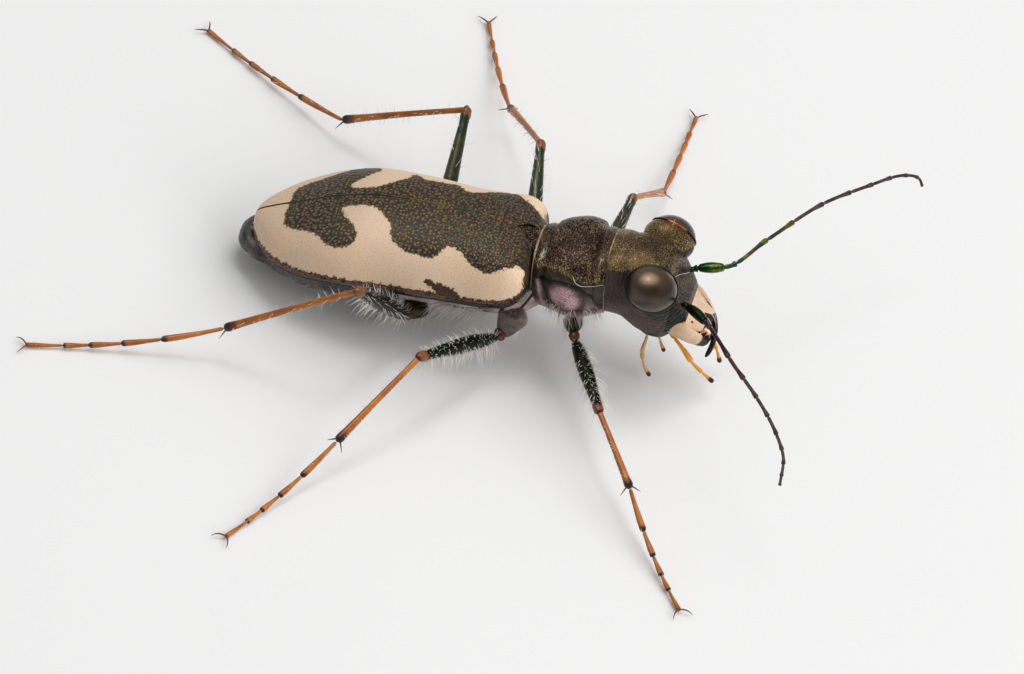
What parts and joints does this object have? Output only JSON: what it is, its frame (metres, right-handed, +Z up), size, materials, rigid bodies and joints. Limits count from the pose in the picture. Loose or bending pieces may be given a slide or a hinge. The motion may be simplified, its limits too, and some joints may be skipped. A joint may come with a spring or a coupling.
{
  "type": "tiger beetle, life-size display model",
  "caption": "Still life-size model of a living tiger beetle standing on slender legs, head with bulging eyes and sickle mandibles, bronze and cream elytra.",
  "frame": {"origin": "on the floor, under the middle of the standing beetle's box", "axes": "+X towards the head, +Y to the beetle's left, +Z up"},
  "size_m": [0.0234, 0.0236, 0.0047],
  "materials": {
    "bronze_cuticle": "satin",
    "dark_underside": "gloss",
    "elytra": "satin",
    "eye": "gloss",
    "cream_mouthparts": "satin",
    "amber_palps": "satin",
    "green_metal": "satin",
    "antenna_dull": "matt",
    "orange_legs": "satin",
    "setae": "matt"
  },
  "bodies": {
    "root": {"head": "bronze_cuticle", "prothorax": "bronze_cuticle", "pterothorax": "dark_underside", "abdomen": "dark_underside", "elytron_right": "elytra", "eye_right": "eye", "mandible_right": "cream_mouthparts", "maxillary_palp_right": "amber_palps", "labial_palp_right": "amber_palps", "antenna_base_right": "green_metal", "antenna_middle_right": "antenna_dull", "antenna_tip_right": "antenna_dull", "elytron_left": "elytra", "eye_left": "eye", "mandible_left": "cream_mouthparts", "maxillary_palp_left": "amber_palps", "labial_palp_left": "amber_palps", "antenna_base_left": "green_metal", "antenna_middle_left": "antenna_dull", "antenna_tip_left": "antenna_dull", "labrum": "cream_mouthparts", "coxa_front_right": "green_metal", "femur_front_right": "green_metal", "tibia_front_right": "orange_legs", "tarsus_front_right": "orange_legs", "coxa_front_left": "green_metal", "femur_front_left": "green_metal", "tibia_front_left": "orange_legs", "tarsus_front_left": "orange_legs", "coxa_middle_right": "green_metal", "femur_middle_right": "green_metal", "tibia_middle_right": "orange_legs", "tarsus_middle_right": "orange_legs", "coxa_middle_left": "green_metal", "femur_middle_left": "green_metal", "tibia_middle_left": "orange_legs", "tarsus_middle_left": "orange_legs", "coxa_hind_right": "green_metal", "femur_hind_right": "green_metal", "tibia_hind_right": "orange_legs", "tarsus_hind_right": "orange_legs", "coxa_hind_left": "green_metal", "femur_hind_left": "green_metal", "tibia_hind_left": "orange_legs", "tarsus_hind_left": "orange_legs"}
  },
  "joints": []
}
